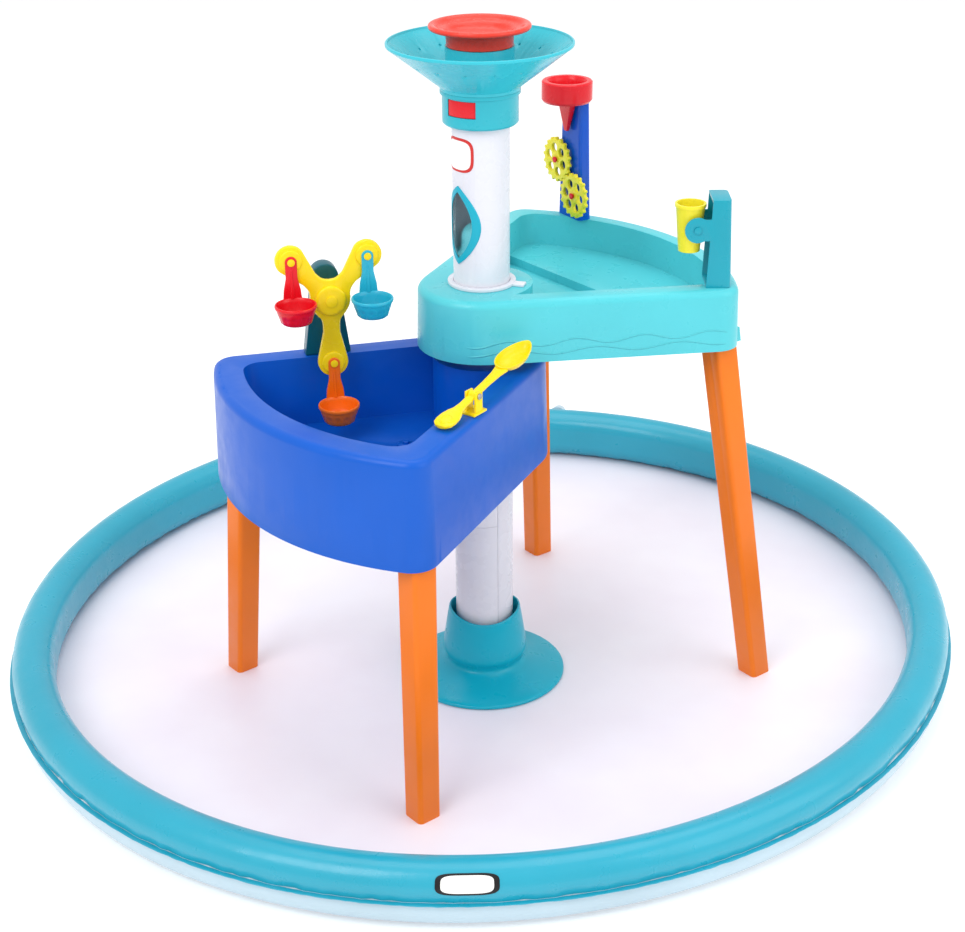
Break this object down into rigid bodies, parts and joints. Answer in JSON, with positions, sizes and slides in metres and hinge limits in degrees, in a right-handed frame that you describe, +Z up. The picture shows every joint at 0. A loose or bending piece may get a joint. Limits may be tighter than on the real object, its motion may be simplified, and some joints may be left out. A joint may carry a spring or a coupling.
{
  "type": "sand and water table",
  "caption": "Two fan-shaped basins on a central column and four legs, with a spinner, launcher, wheel tower, tipping bucket and funnel, in a round splash pad.",
  "frame": {"origin": "on the ground at the centre of the splash pad", "axes": "+Z up, +Y away from the front of the pad, +X to its right"},
  "size_m": [1.5598, 1.5703, 1.058],
  "materials": {
    "pad_vinyl_white": "soft sheet vinyl",
    "pad_vinyl_teal": "soft sheet vinyl",
    "badge_white": "blank printed patch",
    "inlet_white": "moulded satin",
    "teal_plastic": "moulded satin",
    "column_white": "moulded satin",
    "clear_window": "clear",
    "light_teal": "moulded satin",
    "funnel_teal": "moulded satin",
    "tray_blue": "moulded satin",
    "tray_aqua": "moulded satin",
    "leg_orange": "moulded satin",
    "screw_steel": "plain",
    "dark_teal": "moulded satin",
    "spinner_yellow": "moulded satin",
    "tower_blue": "moulded satin",
    "axle_red": "moulded satin",
    "bowl_red": "moulded satin",
    "wheel_yellow": "moulded satin"
  },
  "bodies": {
    "stand": {"pad_floor_sheet": "pad_vinyl_white", "pad_ring_tube": "pad_vinyl_teal", "pad_skirt_band": "pad_vinyl_white", "pad_weld_flange": "pad_vinyl_teal", "pad_badge_plate": "badge_white", "pad_hose_inlet": "inlet_white", "base_stand": "teal_plastic", "column_lower_back_shell": "column_white", "column_lower_front_shell": "column_white", "column_middle_front_shell": "column_white", "column_coupling_sleeve": "column_white", "column_upper_tube": "column_white", "window_frame": "teal_plastic", "window_pane": "clear_window", "column_badge_plate": "badge_white", "water_diverter": "light_teal", "collar_housing": "light_teal", "release_leaf_spring": "light_teal", "funnel": "funnel_teal", "tray_lower": "tray_blue", "tray_upper": "tray_aqua", "column_lock_ring": "column_white", "leg_left": "leg_orange", "leg_front": "leg_orange", "leg_right": "leg_orange", "leg_back": "leg_orange", "leg_screws": "screw_steel", "spinner_bracket": "dark_teal", "spinner_axle": "spinner_yellow", "launcher_saddle": "spinner_yellow", "launcher_pin": "screw_steel", "tower_shell": "tower_blue", "wheel_axles": "axle_red", "tower_cup": "axle_red", "bucket_post": "dark_teal", "bucket_pin": "dark_teal"},
    "bowl": {"top_bowl": "bowl_red"},
    "lower_plug": {"drain_plug_lower": "tray_blue"},
    "upper_plug": {"drain_plug_upper": "tray_aqua"},
    "tab": {"release_tab": "axle_red"},
    "spinner": {"spinner_star": "spinner_yellow", "scoop_pins": "spinner_yellow"},
    "red_scoop": {"scoop_red": "axle_red"},
    "aqua_scoop": {"scoop_aqua": "light_teal"},
    "orange_scoop": {"scoop_orange": "leg_orange"},
    "spoon": {"launcher_spoon": "spinner_yellow"},
    "lower_wheel": {"wheel_lower": "wheel_yellow"},
    "upper_wheel": {"wheel_upper": "wheel_yellow"},
    "bucket": {"bucket": "wheel_yellow"}
  },
  "joints": [
    {"name": "bowl_lift", "type": "slide", "parent": "stand", "child": "bowl", "axis": [0, 0, 1], "range_m": [0, 0.04]},
    {"name": "lower_plug_lift", "type": "slide", "parent": "stand", "child": "lower_plug", "axis": [0, 0, 1], "range_m": [0, 0.025]},
    {"name": "upper_plug_lift", "type": "slide", "parent": "stand", "child": "upper_plug", "axis": [0, 0, 1], "range_m": [0, 0.025]},
    {"name": "tab_press", "type": "slide", "parent": "stand", "child": "tab", "axis": [0.5299, 0.848, 0], "range_m": [0, 0.004], "stiffness_N_per_m": 300},
    {"name": "spin", "type": "hinge", "parent": "stand", "child": "spinner", "pos_m": [-0.22226, -0.16992, 0.664], "axis": [-0.2419, 0.9703, 0], "continuous": true},
    {"name": "red_scoop_hang", "type": "hinge", "parent": "spinner", "child": "red_scoop", "pos_m": [-0.27954, -0.17338, 0.72891], "axis": [-0.2419, 0.9703, 0], "continuous": true},
    {"name": "aqua_scoop_hang", "type": "hinge", "parent": "spinner", "child": "aqua_scoop", "pos_m": [-0.17005, -0.14608, 0.72891], "axis": [-0.2419, 0.9703, 0], "continuous": true},
    {"name": "orange_scoop_hang", "type": "hinge", "parent": "spinner", "child": "orange_scoop", "pos_m": [-0.2248, -0.15973, 0.566], "axis": [-0.2419, 0.9703, 0], "continuous": true},
    {"name": "spoon_rock", "type": "hinge", "parent": "stand", "child": "spoon", "pos_m": [-0.015, -0.341, 0.588], "axis": [-0.809, 0.5878, 0], "range_deg": [0, 19]},
    {"name": "lower_wheel_spin", "type": "hinge", "parent": "stand", "child": "lower_wheel", "pos_m": [0.15014, 0.18053, 0.719], "axis": [-0.848, -0.5299, 0], "continuous": true},
    {"name": "upper_wheel_spin", "type": "hinge", "parent": "stand", "child": "upper_wheel", "pos_m": [0.12418, 0.22207, 0.769], "axis": [-0.848, -0.5299, 0], "continuous": true},
    {"name": "bucket_tip", "type": "hinge", "parent": "stand", "child": "bucket", "pos_m": [0.313, -0.125, 0.764], "axis": [0, -1, 0], "range_deg": [-20, 110]}
  ],
  "couplings": [
    {"joint": "upper_wheel_spin", "follows": "lower_wheel_spin", "ratio": -1},
    {"joint": "red_scoop_hang", "follows": "spin", "ratio": -1},
    {"joint": "aqua_scoop_hang", "follows": "spin", "ratio": -1},
    {"joint": "orange_scoop_hang", "follows": "spin", "ratio": -1}
  ]
}
